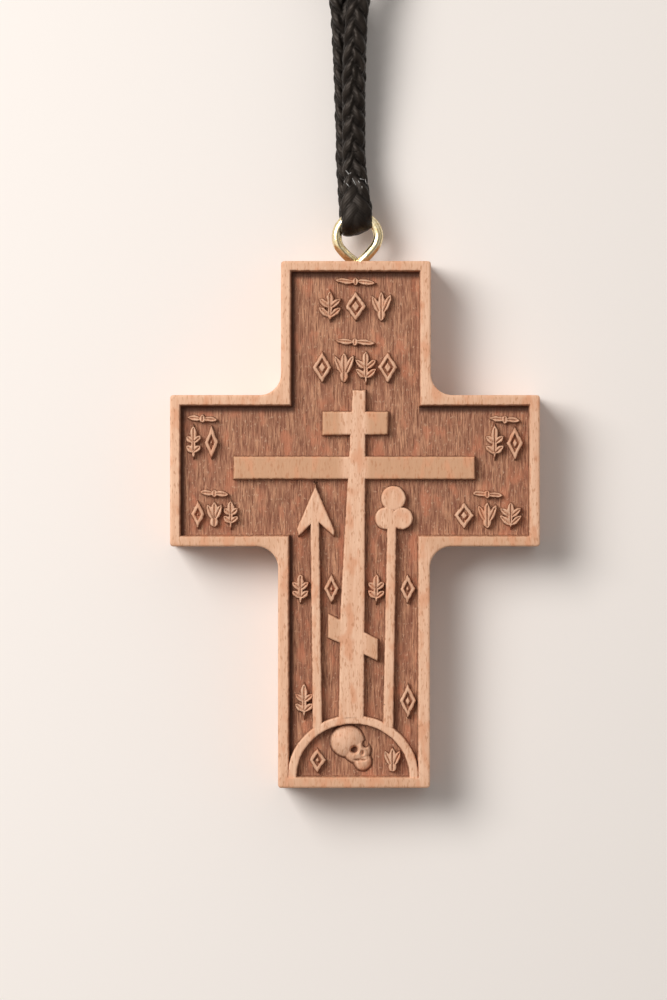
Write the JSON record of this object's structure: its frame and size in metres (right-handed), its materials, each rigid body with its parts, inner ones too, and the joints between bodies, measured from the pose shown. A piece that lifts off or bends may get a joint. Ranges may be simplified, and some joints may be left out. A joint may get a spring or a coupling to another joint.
{
  "type": "wooden cross",
  "caption": "Small carved wooden pendant cross with a sunk, relief-carved face, a brass screw eye in its top and a braided neck cord sewn through the eye.",
  "frame": {"origin": "middle of the wooden cross's flat back face", "axes": "+X to the right, +Y up the cross towards the eye, +Z out of the carved face"},
  "size_m": [0.0394, 0.1248, 0.0062],
  "materials": {
    "wood": "hand-carved fruit wood, rims sanded, ground left from the knife",
    "brass": "bright drawn wire",
    "cord": "braided synthetic cord with a slight sheen",
    "thread": "glossy sewing thread"
  },
  "bodies": {
    "neck_cord": {"cord_coil": "cord", "cord_right_strand": "cord", "cord_left_strand": "cord"},
    "sewn_loop": {"cord_loop": "cord", "seam_thread": "thread"},
    "pendant": {"cross_body": "wood", "screw_eye": "brass"}
  },
  "joints": [
    {"name": "loop_sway", "type": "hinge", "parent": "neck_cord", "child": "sewn_loop", "pos_m": [0, 0.0365, 0], "axis": [0, 0, 1], "range_deg": [-70, 70]},
    {"name": "eye_tip", "type": "hinge", "parent": "sewn_loop", "child": "pendant", "pos_m": [0.00025, 0.03018, 0.0031], "axis": [-1, 0, 0], "range_deg": [0, 100]}
  ]
}
